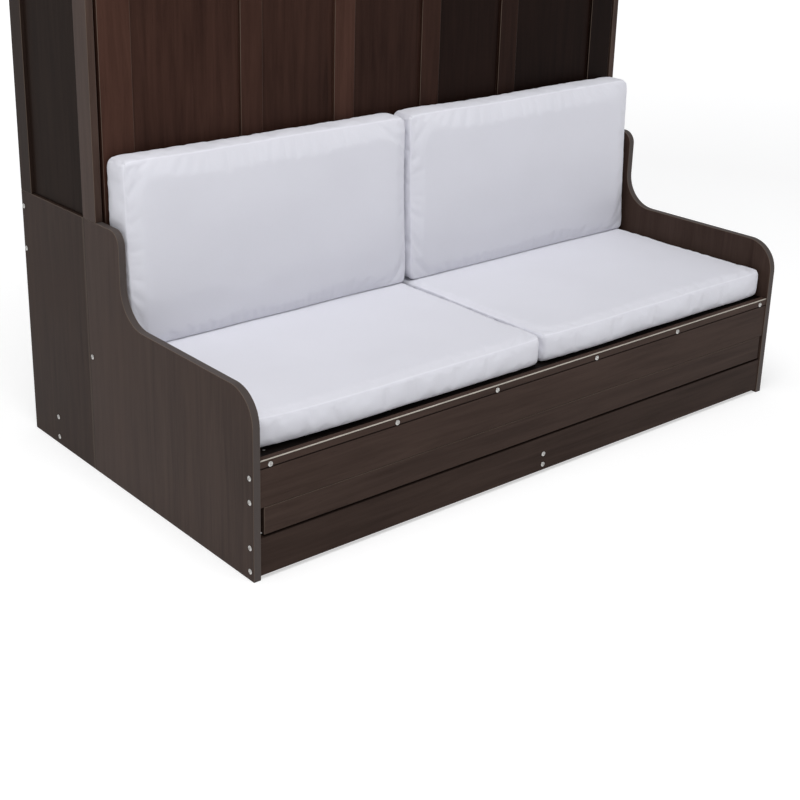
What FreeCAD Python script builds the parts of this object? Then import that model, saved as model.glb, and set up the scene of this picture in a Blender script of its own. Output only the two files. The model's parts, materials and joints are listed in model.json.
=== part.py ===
import FreeCAD, Part
import os
import re

import Sketcher

# A queen wall bed with a sofa in front of its cabinet. Millimetres, +Z up, the front faces -Y, and the
# origin is on the floor under the middle of the whole object. Lengths "from the front" are measured from
# the front edges of the arms, so y = length - overall_depth / 2.

SIZES = [
    ("overall_width", 1676, "outside of one arm to outside of the other"),
    ("overall_depth", 957, "front of the arms to the wall"),
    ("overall_height", 2338, "floor to the top board"),
    ("board", 18, "thickness of every structural board"),
    ("ease", 1.2, "rounding on the boards' edges"),
    ("arm_depth", 654, "front to back of an arm panel"),
    ("arm_height", 417, "floor to the top of the armrest"),
    ("arm_upright", 501, "from the front to the upright edge behind the armrest"),
    ("nose_radius", 76, "round nose of the armrest"),
    ("sweep_radius", 86, "hollow curve from the armrest to the upright"),
    ("shoulder_radius", 34, "round corner above the upright"),
    ("lower_height", 623, "height of the arms' backs and the lower side panels"),
    ("cabinet_front", 597, "from the front to the cabinet's front plane"),
    ("rear_stile", 53, "width of the rear stiles"),
    ("inset_thick", 6, "thickness of the inset panels"),
    ("side_inset_back", 8, "how far the side insets lie behind the stiles' faces"),
    ("face_inset_back", 7, "how far the bed's insets lie behind its face"),
    ("top_thick", 22, "thickness of the top board"),
    ("top_overhang", 12, "how far the top board stands out in front"),
    ("side_top_rail_height", 90, "rails under the ends of the top board"),
    ("wall_rail_height", 100, "rail that is screwed to the wall"),
    ("wall_hole_pitch", 406, "distance between wall holes"),
    ("wall_hole_radius", 4, "wall holes"),
    ("middle_rail_bottom", 450, "rear rail behind the bed's head end"),
    ("middle_rail_height", 162, "rear rail behind the bed's head end"),
    ("floor_rail_front", 822, "from the front to the rear floor rail"),
    ("front_recess", 2, "how far the seat front lies behind the arms' edges"),
    ("toe_gap", 9, "floor to the toe board"),
    ("toe_height", 87, "toe board and rear floor rail"),
    ("toe_slot", 5, "shadow gap over the toe board"),
    ("infill_height", 61.5, "board between toe board and apron"),
    ("infill_gap", 10, "open ends of the infill board"),
    ("apron_bottom", 163, "underside of the apron"),
    ("apron_height", 86, "board under the seat's nosing"),
    ("deck_level", 268, "top of the seat deck"),
    ("nosing_height", 17.5, "batten along the deck's front edge"),
    ("deck_thick", 3, "hardboard deck"),
    ("deck_depth", 590, "from the front to the deck's back edge"),
    ("joist_width", 50, "seat joists"),
    ("joist_near", 164, "middle to the first joist on each side"),
    ("joist_middle", 460, "middle to the second joist"),
    ("joist_far", 794, "middle to the outer joist"),
    ("spine_height", 75, "board from the toe board back to the floor rail"),
    ("bolt_head_radius", 5, "connector bolts"),
    ("bolt_head_height", 1.5, "connector bolts"),
    ("bolt_radius", 3, "connector bolts"),
    ("bolt_length", 50, "connector bolts"),
    ("bolt_line", 13, "from an arm's front or back edge to its bolts"),
    ("screw_head_radius", 3.5, "deck screws"),
    ("screw_head_height", 0.3, "deck screws"),
    ("screw_radius", 1.8, "deck screws"),
    ("screw_length", 16, "deck screws"),
    ("screw_side", 12, "middle of a joist to its deck screws"),
    ("bed_width", 1624, "outside of the folding bed"),
    ("bed_bottom", 222, "floor to the closed bed's head end"),
    ("bed_length", 2084, "head end to foot end"),
    ("outer_stile", 81, "stiles along the bed's edges"),
    ("inner_stile", 62, "stiles between the insets"),
    ("stile_near", 139, "middle to the inner stiles"),
    ("stile_far", 413.5, "middle to the next stiles"),
    ("lower_panel_top", 750, "top of the plain board behind the cushions"),
    ("face_top_rail_height", 100, "rail along the bed's foot end"),
    ("rail_thick", 34, "bed side rails"),
    ("rail_depth", 110, "bed rails, behind the face"),
    ("slat_width", 70, "bed slats"),
    ("slat_pitch", 160, "bed slats"),
    ("slat_start", 70, "head end to the middle of the first slat"),
    ("mattress_width", 1524, "queen mattress"),
    ("mattress_length", 2032, "queen mattress"),
    ("mattress_thick", 150, "queen mattress"),
    ("mattress_round", 22, "queen mattress"),
    ("soft_gap", 0.5, "air round the soft pieces"),
    ("strap_width", 40, "straps that hold the mattress"),
    ("strap_thick", 2, "straps that hold the mattress"),
    ("strap_tail", 96, "strap ends down the side rails"),
    ("strap_low", 850, "floor to the lower strap"),
    ("strap_high", 1750, "floor to the upper strap"),
    ("pivot_back", 647, "from the front to the bed's pivot"),
    ("pivot_height", 490, "floor to the bed's pivot"),
    ("pivot_radius", 7, "pivot pin"),
    ("pivot_clearance", 0.06, "pin in its bush"),
    ("bush_radius", 10, "bush in the side rail"),
    ("bush_length", 27, "bush in the side rail"),
    ("pin_length", 29, "pivot pin"),
    ("plate_thick", 3, "pivot plates and leg brackets"),
    ("cabinet_plate_depth", 90, "pivot plate on the cabinet"),
    ("cabinet_plate_height", 140, "pivot plate on the cabinet"),
    ("bed_plate_depth", 60, "pivot plate on the bed"),
    ("bed_plate_height", 100, "pivot plate on the bed"),
    ("leg_line", 772, "middle to each leg"),
    ("leg_pin_back", 577, "from the front to the legs' pins"),
    ("leg_pin_height", 2220, "floor to the legs' pins"),
    ("leg_reach", 419, "leg pin to the foot's end"),
    ("leg_width", 40, "legs"),
    ("leg_thick", 30, "legs"),
    ("leg_pin_radius", 4, "leg pins"),
    ("leg_pin_clearance", 0.05, "leg on its pin"),
    ("ear_gap", 0.5, "leg to bracket ear"),
    ("bracket_height", 60, "leg brackets"),
    ("ear_height", 30, "leg brackets"),
    ("ear_depth", 31, "leg brackets"),
    ("handle_height", 1700, "floor to the middle of the pull handles"),
    ("handle_length", 160, "pull handles"),
    ("handle_reach", 30, "face to the middle of the handle's bar"),
    ("handle_radius", 5, "pull handles"),
    ("handle_foot", 64, "middle of the handle to each foot"),
    ("catch_line", 500, "middle to each magnetic catch"),
    ("catch_length", 60, "magnetic catches"),
    ("catch_depth", 20, "magnetic catches"),
    ("catch_height", 7, "magnetic catches"),
    ("seat_front", 20, "from the front to the seat cushions"),
    ("seat_thick", 76, "seat cushions"),
    ("back_front", 504, "from the front to the back cushions"),
    ("back_thick", 90, "back cushions"),
    ("back_height", 428, "back cushions"),
    ("cushion_side_gap", 3, "cushion to arm"),
    ("cushion_split", 4, "between the two cushions"),
    ("cushion_round", 18, "cushion edges"),
]

# Heights of the bolts that show on the arms and the lower side panels.
APRON_BOLTS = (232, 178)
TOE_BOLTS = (75, 21)
ARM_BACK_BOLT = 292
FLOOR_RAIL_BOLTS = (73, 20)
MIDDLE_RAIL_BOLTS = (584, 478)
SPINE_BOLTS = (51, 24)
NOSING_BOLT_HEIGHT = 256
DECK_SCREW_LINES = (42, 560)
JOISTS = [f"{sign} {where}" for sign in "-+" for where in ("joist_near", "joist_middle", "joist_far")]
SLATS = 13
QUARTER_TURN = 1.5707963267948966
DRAWN_SIZE = 20  # what a sketch is drawn at before its constraints size it

LEFT = "-overall_width / 2"
RIGHT = "overall_width / 2"
FRONT = "-overall_depth / 2"
UNDER_TOP = "overall_height - top_thick"
INNER_WIDTH = "overall_width - 2 * board"
SEAT_FACE = FRONT + " + front_recess"
BED_FACE = FRONT + " + cabinet_front"
SIDES = ((-1, "left"), (1, "right"))

doc = FreeCAD.newDocument("wall_bed")
sheet = doc.addObject("Spreadsheet::Sheet", "Sizes")
for row, (alias, number, note) in enumerate(SIZES, 1):
    sheet.set(f"A{row}", note)
    sheet.set(f"B{row}", str(number))
    sheet.setAlias(f"B{row}", alias)
doc.recompute()

nodes = []


def value(alias):
    """The number that an alias holds."""
    return float(sheet.get(alias))


def bind(obj, prop, text):
    """Binds a property to a formula whose words are aliases of the sheet."""
    obj.setExpression(prop, re.sub(r"[a-z]+(_[a-z]+)*", lambda word: "Sizes." + word.group(0), str(text)))


def place(obj, at):
    for axis, text in zip("xyz", at):
        bind(obj, f".Placement.Base.{axis}", text)


def finished(obj, label):
    """Gives a sub-part its name and puts it on the list of parts to write."""
    obj.Label = label
    nodes.append(obj)
    return obj


def sketch_on(body, role):
    """A sketch on one of a body's own origin planes."""
    sketch = body.newObject("Sketcher::SketchObject", "Sketch")
    plane = [item for item in body.Origin.OriginFeatures if item.Role == role][0]
    sketch.AttachmentSupport = [(plane, "")]
    sketch.MapMode = "FlatFace"
    return sketch


def limit(sketch, name, text, kind, *where, start=1.0):
    """A named constraint whose size follows a formula, from a first value near the drawn one."""
    index = sketch.addConstraint(Sketcher.Constraint(kind, *where, start))
    sketch.renameConstraint(index, name)
    bind(sketch, f"Constraints.{name}", text)


def rectangle(sketch, across, along):
    """A rectangle from the sketch's origin, across its first axis and along its second."""
    drawn = ((0, 0), (DRAWN_SIZE, 0), (DRAWN_SIZE, DRAWN_SIZE), (0, DRAWN_SIZE))
    corners = [FreeCAD.Vector(x, y, 0) for x, y in drawn]
    for start, end in zip(corners, corners[1:] + corners[:1]):
        sketch.addGeometry(Part.LineSegment(start, end), False)
    for edge in range(4):
        sketch.addConstraint(Sketcher.Constraint("Coincident", edge, 2, (edge + 1) % 4, 1))
    for edge, kind in enumerate(("Horizontal", "Vertical", "Horizontal", "Vertical")):
        sketch.addConstraint(Sketcher.Constraint(kind, edge))
    sketch.addConstraint(Sketcher.Constraint("Coincident", 0, 1, -1, 1))
    limit(sketch, "across", across, "DistanceX", 0, 1, 0, 2)
    limit(sketch, "along", along, "DistanceY", 1, 1, 1, 2)


def eased(body, base, radius):
    """Rounds all the edges of the body's last feature."""
    fillet = body.newObject("PartDesign::Fillet", "Eased")
    fillet.Base = (base, [""])
    fillet.UseAllEdges = True
    bind(fillet, "Radius", radius)
    body.Tip = fillet


def board(label, size, at, radius="ease"):
    """A rectangular piece from its lowest corner, with rounded edges."""
    body = doc.addObject("PartDesign::Body", label)
    sketch = sketch_on(body, "XY_Plane")
    rectangle(sketch, size[0], size[1])
    pad = body.newObject("PartDesign::Pad", "Pad")
    pad.Profile = sketch
    bind(pad, "Length", size[2])
    doc.recompute()
    eased(body, pad, radius)
    place(body, at)
    return finished(body, label)


def drill(body, role, spots, radius):
    """Bores straight through a body. XZ bores run along +Y and YZ bores along +X."""
    sketch = sketch_on(body, role)
    for number, (across, along) in enumerate(spots):
        centre = FreeCAD.Vector(DRAWN_SIZE, DRAWN_SIZE, 0)
        sketch.addGeometry(Part.Circle(centre, FreeCAD.Vector(0, 0, 1), 1), False)
        limit(sketch, f"across{number}", across, "DistanceX", -1, 1, number, 3)
        limit(sketch, f"along{number}", along, "DistanceY", -1, 1, number, 3)
        limit(sketch, f"radius{number}", radius, "Radius", number)
    doc.recompute()
    before = body.Tip.Shape.Volume
    pocket = body.newObject("PartDesign::Pocket", "Bores")
    pocket.Profile = sketch
    pocket.Type = "ThroughAll"
    pocket.Reversed = role == "YZ_Plane"
    body.Tip = pocket
    doc.recompute()
    if pocket.Shape.Volume >= before:
        raise RuntimeError(f"the bores in {body.Label} cut nothing")


def box(size, at):
    piece = doc.addObject("Part::Box", "Box")
    for prop, text in zip(("Length", "Width", "Height"), size):
        bind(piece, prop, text)
    place(piece, at)
    return piece


def rod(radius, length, at, direction):
    """A cylinder along +X, +Y or +Z from a point."""
    piece = doc.addObject("Part::Cylinder", "Rod")
    bind(piece, "Radius", radius)
    bind(piece, "Height", length)
    across, along = FreeCAD.Vector(0, 1, 0), FreeCAD.Vector(1, 0, 0)
    axis, angle = {"x": (across, 90), "y": (along, -90), "z": (along, 0)}[direction]
    piece.Placement = FreeCAD.Placement(FreeCAD.Vector(), FreeCAD.Rotation(axis, angle))
    place(piece, at)
    return piece


def joined(pieces):
    fuse = doc.addObject("Part::MultiFuse", "Joined")
    fuse.Shapes = pieces
    return fuse


def cut(piece, tool):
    cutting = doc.addObject("Part::Cut", "Cut")
    cutting.Base = piece
    cutting.Tool = tool
    return cutting


def group(label, pieces):
    """Identical pieces as separate solids in one node."""
    compound = doc.addObject("Part::Compound", label)
    compound.Links = pieces
    return finished(compound, label)


def side_x(side, inset, width):
    """Left corner of a piece that lies inset from the outside of the object, on either side."""
    return f"{LEFT} + {inset}" if side < 0 else f"{RIGHT} - ({inset}) - ({width})"


# ---- cabinet and arms ----


def arm(side, name):
    """The arm panel: round nose, armrest, hollow sweep, upright and round shoulder."""
    depth, top, rest, upright = (value(a) for a in ("arm_depth", "lower_height", "arm_height", "arm_upright"))
    nose, sweep, shoulder = (value(a) for a in ("nose_radius", "sweep_radius", "shoulder_radius"))
    body = doc.addObject("PartDesign::Body", f"arm_{name}")
    sketch = sketch_on(body, "YZ_Plane")

    def line(start, end):
        ends = [FreeCAD.Vector(y, z, 0) for y, z in (start, end)]
        return sketch.addGeometry(Part.LineSegment(*ends), False)

    def arc(centre, radius, first, last):
        circle = Part.Circle(FreeCAD.Vector(*centre, 0), FreeCAD.Vector(0, 0, 1), radius)
        return sketch.addGeometry(Part.ArcOfCircle(circle, first, last), False)

    quarter = QUARTER_TURN
    foot = line((0, 0), (depth, 0))
    back = line((depth, 0), (depth, top))
    crest = line((depth, top), (upright + shoulder, top))
    round_shoulder = arc((upright + shoulder, top - shoulder), shoulder, quarter, 2 * quarter)
    edge = line((upright, top - shoulder), (upright, rest + sweep))
    hollow = arc((upright - sweep, rest + sweep), sweep, 3 * quarter, 4 * quarter)
    armrest = line((upright - sweep, rest), (nose, rest))
    round_nose = arc((nose, rest - nose), nose, quarter, 2 * quarter)
    front = line((0, rest - nose), (0, 0))
    for first, second in ((foot, back), (back, crest), (front, foot)):
        sketch.addConstraint(Sketcher.Constraint("Coincident", first, 2, second, 1))
    tangents = ((crest, 2, round_shoulder, 1), (round_shoulder, 2, edge, 1), (edge, 2, hollow, 2))
    tangents += ((hollow, 1, armrest, 1), (armrest, 2, round_nose, 1), (round_nose, 2, front, 1))
    for tangent in tangents:
        sketch.addConstraint(Sketcher.Constraint("Tangent", *tangent))
    for level in (foot, crest, armrest):
        sketch.addConstraint(Sketcher.Constraint("Horizontal", level))
    for plumb in (back, edge, front):
        sketch.addConstraint(Sketcher.Constraint("Vertical", plumb))
    sketch.addConstraint(Sketcher.Constraint("Coincident", foot, 1, -1, 1))
    limit(sketch, "depth", "arm_depth", "DistanceX", foot, 1, foot, 2, start=depth)
    limit(sketch, "top", "lower_height", "DistanceY", back, 1, back, 2, start=top)
    limit(sketch, "upright", "arm_upright", "DistanceX", -1, 1, edge, 1, start=upright)
    limit(sketch, "rest", "arm_height", "DistanceY", -1, 1, armrest, 1, start=rest)
    limit(sketch, "shoulder", "shoulder_radius", "Radius", round_shoulder, start=shoulder)
    limit(sketch, "sweep", "sweep_radius", "Radius", hollow, start=sweep)
    limit(sketch, "nose", "nose_radius", "Radius", round_nose, start=nose)
    pad = body.newObject("PartDesign::Pad", "Pad")
    pad.Profile = sketch
    bind(pad, "Length", "board")
    doc.recompute()
    eased(body, pad, "ease")
    place(body, (side_x(side, "0", "board"), FRONT, 0))
    spots = [("bolt_line", height) for height in APRON_BOLTS + TOE_BOLTS]
    drill(body, "YZ_Plane", spots + [("arm_depth - bolt_line", ARM_BACK_BOLT)], "bolt_radius")
    finished(body, f"arm_{name}")


def cabinet_side(side, name):
    """Lower panel, two stiles and a thin inset panel between them."""
    x = side_x(side, "0", "board")
    tall = UNDER_TOP + " - lower_height"
    behind = FRONT + " + arm_depth"
    size = ("board", "overall_depth - arm_depth", "lower_height")
    lower = board(f"side_panel_{name}", size, (x, behind, 0))
    spots = [("floor_rail_front + board / 2 - arm_depth", height) for height in FLOOR_RAIL_BOLTS]
    spots += [("overall_depth - board / 2 - arm_depth", height) for height in MIDDLE_RAIL_BOLTS]
    drill(lower, "YZ_Plane", spots, "bolt_radius")
    board(f"front_stile_{name}", ("board", "arm_depth - cabinet_front", tall), (x, BED_FACE, "lower_height"))
    rear = "overall_depth / 2 - rear_stile"
    board(f"rear_stile_{name}", ("board", "rear_stile", tall), (x, rear, "lower_height"))
    inset_x = side_x(side, "side_inset_back", "inset_thick")
    size = ("inset_thick", "overall_depth - arm_depth - rear_stile", tall + " - side_top_rail_height")
    board(f"side_inset_{name}", size, (inset_x, behind, "lower_height"))


def side_top_rails():
    """Short rails between the stiles, under the ends of the top board."""
    size = ("board", "overall_depth - arm_depth - rear_stile", "side_top_rail_height")
    z = UNDER_TOP + " - side_top_rail_height"
    rails = [box(size, (side_x(side, "0", "board"), FRONT + " + arm_depth", z)) for side, _ in SIDES]
    group("side_top_rails", rails)


def cross_rails():
    """Boards that run from side to side behind the bed, and the top board."""
    x = LEFT + " + board"
    rear = "overall_depth / 2 - board"
    depth = "overall_depth - cabinet_front + top_overhang"
    corner = (LEFT, BED_FACE + " - top_overhang", UNDER_TOP)
    board("cabinet_top", ("overall_width", depth, "top_thick"), corner)
    top = (x, rear, UNDER_TOP + " - wall_rail_height")
    wall_rail = board("rear_rail_top", (INNER_WIDTH, "board", "wall_rail_height"), top)
    steps = (-1.5, -0.5, 0.5, 1.5)
    middle = "overall_width / 2 - board"
    holes = [(f"{middle} + {step} * wall_hole_pitch", "wall_rail_height / 2") for step in steps]
    drill(wall_rail, "XZ_Plane", holes, "wall_hole_radius")
    board("rear_rail_middle", (INNER_WIDTH, "board", "middle_rail_height"), (x, rear, "middle_rail_bottom"))
    low = (x, FRONT + " + floor_rail_front", "toe_gap")
    board("rear_rail_floor", (INNER_WIDTH, "board", "toe_height"), low)


# ---- sofa base ----


def seat_front():
    """Toe board, infill board, apron and nosing, one above the other between the arms."""
    x = LEFT + " + board"
    toe = board("toe_board", (INNER_WIDTH, "board", "toe_height"), (x, SEAT_FACE, "toe_gap"))
    spots = [("overall_width / 2 - board", f"{height} - toe_gap") for height in SPINE_BOLTS]
    drill(toe, "XZ_Plane", spots, "bolt_radius")
    size = (INNER_WIDTH + " - 2 * infill_gap", "board", "infill_height")
    board("seat_infill", size, (x + " + infill_gap", SEAT_FACE, "toe_gap + toe_height + toe_slot"))
    board("seat_apron", (INNER_WIDTH, "board", "apron_height"), (x, SEAT_FACE, "apron_bottom"))
    z = "deck_level - nosing_height"
    nosing = board("seat_nosing", (INNER_WIDTH, "board", "nosing_height"), (x, SEAT_FACE, z))
    spots = [(f"overall_width / 2 - board {joist}", f"{NOSING_BOLT_HEIGHT} - ({z})") for joist in JOISTS]
    drill(nosing, "XZ_Plane", spots, "bolt_radius")
    cleat = ("joist_width", "board", "apron_height + infill_height - board")
    y = SEAT_FACE + " + board"
    z = "toe_gap + toe_height + board"
    cleats = [box(cleat, (f"{side} * joist_middle - joist_width / 2", y, z)) for side, _ in SIDES]
    group("infill_cleats", cleats)


def seat_deck():
    """Joists from the nosing to the seat's rear rail, a thin deck on them, and the spine near the floor."""
    start = SEAT_FACE + " + board"
    length = "deck_depth - front_recess - board"
    z = "deck_level - deck_thick - board"
    joists = [box(("joist_width", length, "board"), (f"0 {j} - joist_width / 2", start, z)) for j in JOISTS]
    group("seat_joists", joists)
    x = LEFT + " + board"
    size = (INNER_WIDTH, "board", "apron_height")
    board("seat_rear_rail", size, (x, FRONT + " + deck_depth - board", z + " - apron_height"))
    deck = box((INNER_WIDTH, length, "deck_thick"), (x, start, "deck_level - deck_thick"))
    finished(deck, "seat_deck")
    size = ("board", "floor_rail_front - front_recess - board", "spine_height")
    board("centre_spine", size, ("-board / 2", start, 0))


def bolt(head, shank, direction, length="bolt_length"):
    """A bolt whose head and shank start at two points and run along +X or +Y."""
    parts = [rod("bolt_head_radius", "bolt_head_height", head, direction)]
    parts.append(rod("bolt_radius", length, shank, direction))
    return joined(parts)


def bolts():
    """Bolts through the arms and side panels, and bolts through the toe board and the nosing.

    The bolt near an arm's back edge is only as long as the arm is thick, since the bed passes behind it.
    """
    spots = [(FRONT + " + bolt_line", height, "bolt_length") for height in APRON_BOLTS + TOE_BOLTS]
    spots.append((FRONT + " + arm_depth - bolt_line", ARM_BACK_BOLT, "board"))
    rail = FRONT + " + floor_rail_front + board / 2"
    spots += [(rail, height, "bolt_length") for height in FLOOR_RAIL_BOLTS]
    spots += [("overall_depth / 2 - board / 2", height, "bolt_length") for height in MIDDLE_RAIL_BOLTS]
    pieces = []
    for y, z, length in spots:
        pieces.append(bolt((LEFT + " - bolt_head_height", y, z), (LEFT, y, z), "x", length))
        pieces.append(bolt((RIGHT, y, z), (f"{RIGHT} - {length}", y, z), "x", length))
    group("side_bolts", pieces)
    spots = [("0", height) for height in SPINE_BOLTS]
    spots += [("0 " + joist, NOSING_BOLT_HEIGHT) for joist in JOISTS]
    head = SEAT_FACE + " - bolt_head_height"
    group("front_bolts", [bolt((x, head, z), (x, SEAT_FACE, z), "y") for x, z in spots])


def deck_screws():
    """Two screws through the deck into each joist, beside the line of the nosing bolt."""
    screws = []
    for joist in JOISTS:
        for line in DECK_SCREW_LINES:
            x, y = f"0 {joist} + screw_side", f"{FRONT} + {line}"
            head = rod("screw_head_radius", "screw_head_height", (x, y, "deck_level"), "z")
            shank = rod("screw_radius", "screw_length", (x, y, "deck_level - screw_length"), "z")
            screws.append(joined([head, shank]))
    group("deck_screws", screws)


# ---- pivots and catches on the cabinet ----


def pivots():
    """Plate and pin on each cabinet side; plate and bush on each side of the bed."""
    y, z = FRONT + " + pivot_back", "pivot_height"
    gap = "overall_width / 2 - board"
    bed_side = "bed_width / 2"
    plates, pins, bed_plates, bushes = [], [], [], []
    for side, _ in SIDES:
        low = f"-({gap})" if side < 0 else f"{gap} - plate_thick"
        corner = (low, y + " - cabinet_plate_depth / 2", z + " - cabinet_plate_height / 2")
        plates.append(box(("plate_thick", "cabinet_plate_depth", "cabinet_plate_height"), corner))
        low = f"-({gap}) + plate_thick" if side < 0 else f"{gap} - plate_thick - pin_length"
        pins.append(rod("pivot_radius", "pin_length", (low, y, z), "x"))
        low = f"-{bed_side} - plate_thick" if side < 0 else bed_side
        corner = (low, y + " - bed_plate_depth / 2", z + " - bed_plate_height / 2")
        plate = box(("plate_thick", "bed_plate_depth", "bed_plate_height"), corner)
        bed_plates.append(cut(plate, rod("bush_radius", "plate_thick", (low, y, z), "x")))
        low = f"-{bed_side} - plate_thick" if side < 0 else f"{bed_side} + plate_thick - bush_length"
        bore = rod("pivot_radius + pivot_clearance", "bush_length", (low, y, z), "x")
        bushes.append(cut(rod("bush_radius", "bush_length", (low, y, z), "x"), bore))
    group("cabinet_pivot_plates", plates)
    group("pivot_pins", pins)
    group("bed_pivot_plates", bed_plates)
    group("pivot_bushes", bushes)


def catches():
    """Magnetic catches under the top board."""
    y = BED_FACE + " + catch_depth"
    size = ("catch_length", "catch_depth", "catch_height")
    z = UNDER_TOP + " - catch_height"
    spots = [(f"{side} * catch_line - catch_length / 2", y, z) for side, _ in SIDES]
    group("magnetic_catches", [box(size, spot) for spot in spots])


# ---- folding bed ----


def bed_face():
    """Six stiles, a top rail, a plain lower board and five inset panels."""
    half = "bed_width / 2"
    top = "bed_bottom + bed_length - face_top_rail_height"
    middles = ("-stile_far", "-stile_near", "stile_near", "stile_far")
    lefts = [f"-{half}"] + [f"{x} - inner_stile / 2" for x in middles] + [f"{half} - outer_stile"]
    for number, left in enumerate(lefts, 1):
        outer = number in (1, len(lefts))
        width = "outer_stile" if outer else "inner_stile"
        foot = "bed_bottom" if outer else "lower_panel_top"
        tall = "bed_length" if outer else f"{top} - lower_panel_top"
        board(f"face_stile_{number}", (width, "board", tall), (left, BED_FACE, foot))
    between = "bed_width - 2 * outer_stile"
    x = f"-{half} + outer_stile"
    board("face_lower_panel", (between, "board", "lower_panel_top - bed_bottom"), (x, BED_FACE, "bed_bottom"))
    board("face_top_rail", (between, "board", "face_top_rail_height"), (x, BED_FACE, top))
    widths = ["outer_stile"] + ["inner_stile"] * 4
    for number, (left, width, right) in enumerate(zip(lefts, widths, lefts[1:]), 1):
        size = (f"{right} - ({left}) - {width}", "inset_thick", f"{top} - lower_panel_top")
        corner = (f"{left} + {width}", BED_FACE + " + face_inset_back", "lower_panel_top")
        board(f"face_inset_{number}", size, corner)


def bed_frame():
    """Side rails with the bores for the bushes, head and foot rails, and slats between them."""
    back = BED_FACE + " + board"
    half = "bed_width / 2"
    for side, name in SIDES:
        low = f"-{half}" if side < 0 else f"{half} - rail_thick"
        size = ("rail_thick", "rail_depth", "bed_length")
        rail = board(f"bed_side_rail_{name}", size, (low, back, "bed_bottom"))
        spot = ("pivot_back - cabinet_front - board", "pivot_height - bed_bottom")
        drill(rail, "YZ_Plane", [spot], "bush_radius")
    between = "bed_width - 2 * rail_thick"
    x = f"-{half} + rail_thick"
    board("head_rail", (between, "rail_depth", "board"), (x, back, "bed_bottom"))
    board("foot_rail", (between, "rail_depth", "board"), (x, back, "bed_bottom + bed_length - board"))
    size = (between, "board", "slat_width")
    first = "bed_bottom + slat_start - slat_width / 2"
    group("bed_slats", [box(size, (x, back, f"{first} + {number} * slat_pitch")) for number in range(SLATS)])


def mattress():
    size = ("mattress_width", "mattress_thick", "mattress_length")
    z = "bed_bottom + bed_length / 2 - mattress_length / 2"
    at = ("-mattress_width / 2", BED_FACE + " + 2 * board + soft_gap", z)
    board("mattress", size, at, "mattress_round")
    width = "bed_width - 2 * rail_thick"
    surface = BED_FACE + " + 2 * board + 2 * soft_gap + mattress_thick"
    straps = []
    for z in ("strap_low", "strap_high"):
        parts = [box((width, "strap_thick", "strap_width"), (f"-({width}) / 2", surface, z))]
        for x in (f"-({width}) / 2", f"({width}) / 2 - strap_thick"):
            parts.append(box(("strap_thick", "strap_tail", "strap_width"), (x, surface + " - strap_tail", z)))
        straps.append(joined(parts))
    group("mattress_straps", straps)


def leg(side, name):
    """A leg that hangs from its pin, rounded at the top so that it can turn past the bracket."""
    half, reach = value("leg_thick") / 2, value("leg_reach")
    body = doc.addObject("PartDesign::Body", f"leg_{name}")
    sketch = sketch_on(body, "YZ_Plane")
    corners = [FreeCAD.Vector(y, z, 0) for y, z in ((-half, 0), (-half, -reach), (half, -reach), (half, 0))]
    for start, end in zip(corners, corners[1:]):
        sketch.addGeometry(Part.LineSegment(start, end), False)
    circle = Part.Circle(FreeCAD.Vector(), FreeCAD.Vector(0, 0, 1), half)
    sketch.addGeometry(Part.ArcOfCircle(circle, 0, 2 * QUARTER_TURN), False)
    sketch.addConstraint(Sketcher.Constraint("Coincident", 0, 2, 1, 1))
    sketch.addConstraint(Sketcher.Constraint("Coincident", 1, 2, 2, 1))
    sketch.addConstraint(Sketcher.Constraint("Tangent", 2, 2, 3, 1))
    sketch.addConstraint(Sketcher.Constraint("Tangent", 3, 2, 0, 1))
    sketch.addConstraint(Sketcher.Constraint("Vertical", 0))
    sketch.addConstraint(Sketcher.Constraint("Horizontal", 1))
    sketch.addConstraint(Sketcher.Constraint("Coincident", 3, 3, -1, 1))
    limit(sketch, "radius", "leg_thick / 2", "Radius", 3, start=half)
    limit(sketch, "reach", "leg_reach", "DistanceY", 1, 1, -1, 1, start=reach)
    pad = body.newObject("PartDesign::Pad", "Pad")
    pad.Profile = sketch
    bind(pad, "Length", "leg_width")
    doc.recompute()
    eased(body, pad, "ease")
    drill(body, "YZ_Plane", [("0", "0")], "leg_pin_radius + leg_pin_clearance")
    x = f"{side} * leg_line - leg_width / 2"
    place(body, (x, FRONT + " + leg_pin_back", "leg_pin_height"))
    finished(body, f"leg_{name}")


def leg_brackets():
    """A base plate with two ears for each leg, and the pin through them."""
    pieces = []
    span = "leg_width + 2 * ear_gap + 2 * plate_thick"
    for side, _ in SIDES:
        x = f"{side} * leg_line - ({span}) / 2"
        base_at = (x, BED_FACE + " - plate_thick", "leg_pin_height - bracket_height / 2")
        parts = [box((span, "plate_thick", "bracket_height"), base_at)]
        for ear in (x, f"{x} + {span} - plate_thick"):
            at = (ear, BED_FACE + " - ear_depth - plate_thick", "leg_pin_height - ear_height / 2")
            parts.append(box(("plate_thick", "ear_depth", "ear_height"), at))
        parts.append(rod("leg_pin_radius", span, (x, FRONT + " + leg_pin_back", "leg_pin_height"), "x"))
        pieces.append(joined(parts))
    group("leg_brackets", pieces)


def pull_handles():
    """Two upright bars on the stiles beside the middle."""
    handles = []
    for x in ("-stile_near", "stile_near"):
        bar_y = BED_FACE + " - handle_reach"
        parts = [rod("handle_radius", "handle_length", (x, bar_y, "handle_height - handle_length / 2"), "z")]
        for sign in "-+":
            foot = (x, bar_y, f"handle_height {sign} handle_foot")
            parts.append(rod("handle_radius", "handle_reach", foot, "y"))
        handles.append(joined(parts))
    group("pull_handles", handles)


# ---- cushions ----


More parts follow.
